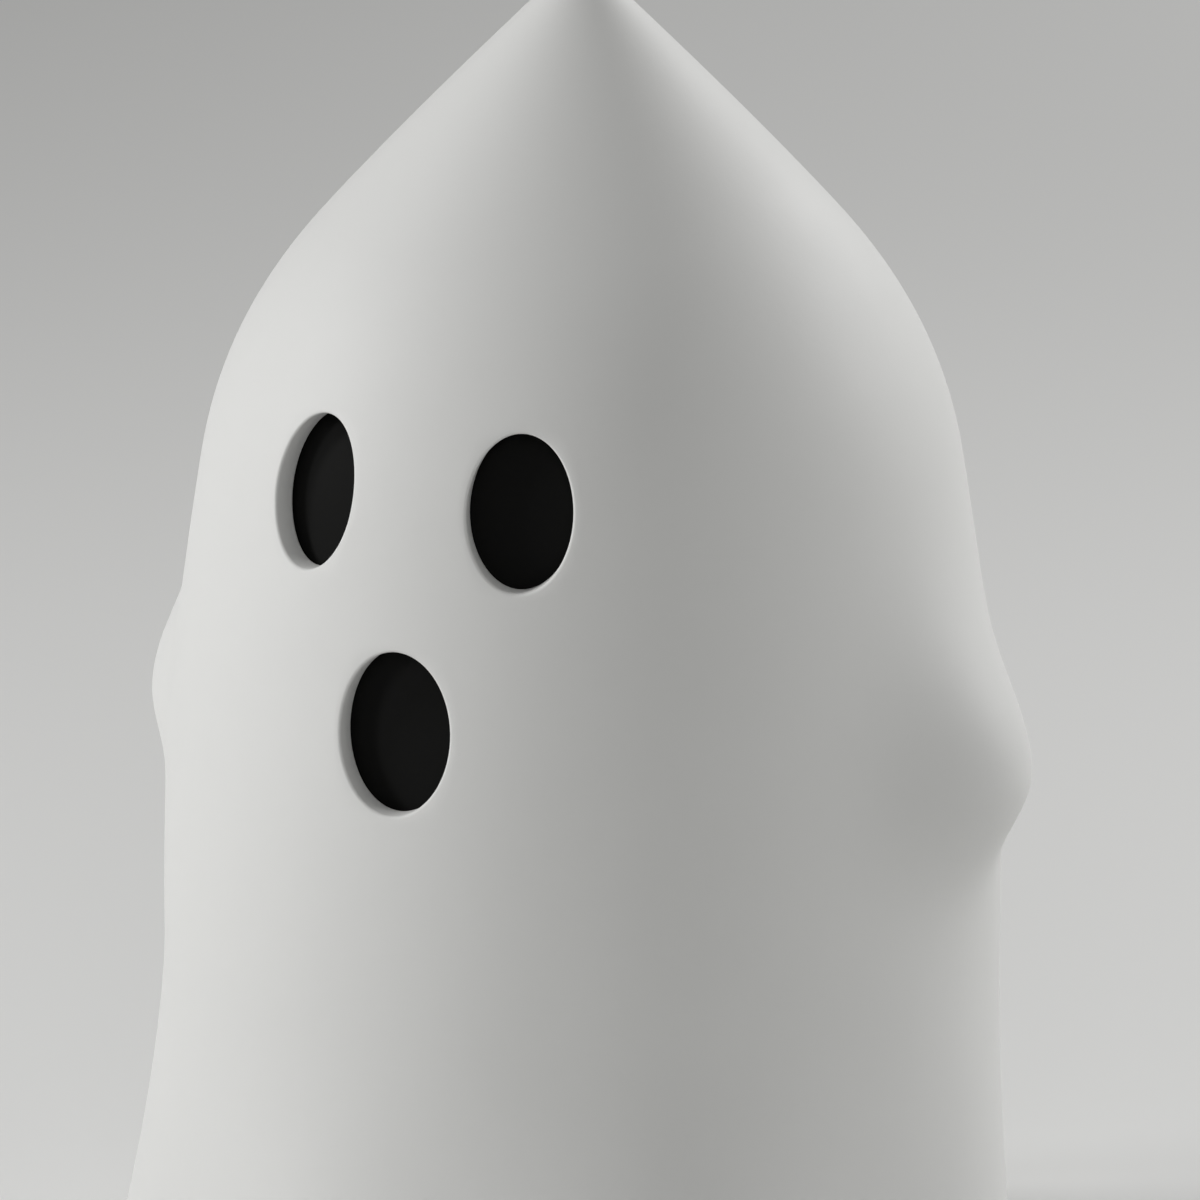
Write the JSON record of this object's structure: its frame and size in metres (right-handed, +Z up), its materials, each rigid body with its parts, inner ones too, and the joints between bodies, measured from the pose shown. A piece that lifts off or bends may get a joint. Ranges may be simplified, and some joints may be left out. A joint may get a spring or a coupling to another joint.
{
  "type": "ghost lantern",
  "caption": "Table-top ghost lantern: a white draped-sheet shell with dark oval eyes and mouth lifts off a round battery base that carries a frosted light dome.",
  "frame": {"origin": "on the floor under the axis of the round body, midway between the feet", "axes": "+Z up along the body's axis to the pointed tip, -Y towards the face, +X towards the arm on the right of the face as seen from the front"},
  "size_m": [0.1244, 0.1241, 0.1867],
  "materials": {
    "shell_white": "smooth matte",
    "face_black": "matte",
    "base_white": "fine matte texture",
    "screw_steel": "plated",
    "foot_rubber": "matte",
    "dome_frosted": "frosted",
    "board_green": "solder mask",
    "lamp_clear": "clear resin",
    "chip_dark": "ceramic",
    "cell_wrap": "printed sleeve without text",
    "contact_nickel": "nickel plated",
    "switch_can": "tin plated",
    "knob_black": "satin",
    "lead_red": "insulation",
    "lead_black": "insulation",
    "lead_white": "insulation"
  },
  "bodies": {
    "base": {"base_tray": "base_white", "base_deck": "base_white", "deck_screws": "screw_steel", "rubber_feet": "foot_rubber", "light_dome": "dome_frosted", "light_board": "board_green", "lamps": "lamp_clear", "resistors": "chip_dark", "board_screws": "screw_steel", "battery_cell_front": "cell_wrap", "battery_cell_middle": "cell_wrap", "battery_cell_rear": "cell_wrap", "terminal_plates": "contact_nickel", "link_plates": "contact_nickel", "contact_springs": "contact_nickel", "switch_body": "switch_can", "switch_screws": "screw_steel", "red_lead": "lead_red", "black_lead": "lead_black", "white_lead": "lead_white"},
    "shell": {"ghost_shell": "shell_white", "left_eye_insert": "face_black", "right_eye_insert": "face_black", "mouth_insert": "face_black"},
    "door": {"battery_door": "base_white"},
    "knob": {"switch_knob": "knob_black"}
  },
  "joints": [
    {"name": "shell_lift", "type": "slide", "parent": "base", "child": "shell", "axis": [0, 0, 1], "range_m": [0, 0.09]},
    {"name": "battery_door_hinge", "type": "hinge", "parent": "base", "child": "door", "pos_m": [0, -0.03035, 0.0034], "axis": [-1, 0, 0], "range_deg": [0, 95]},
    {"name": "switch_slide", "type": "slide", "parent": "base", "child": "knob", "axis": [1, 0, 0], "range_m": [0, 0.004]}
  ]
}
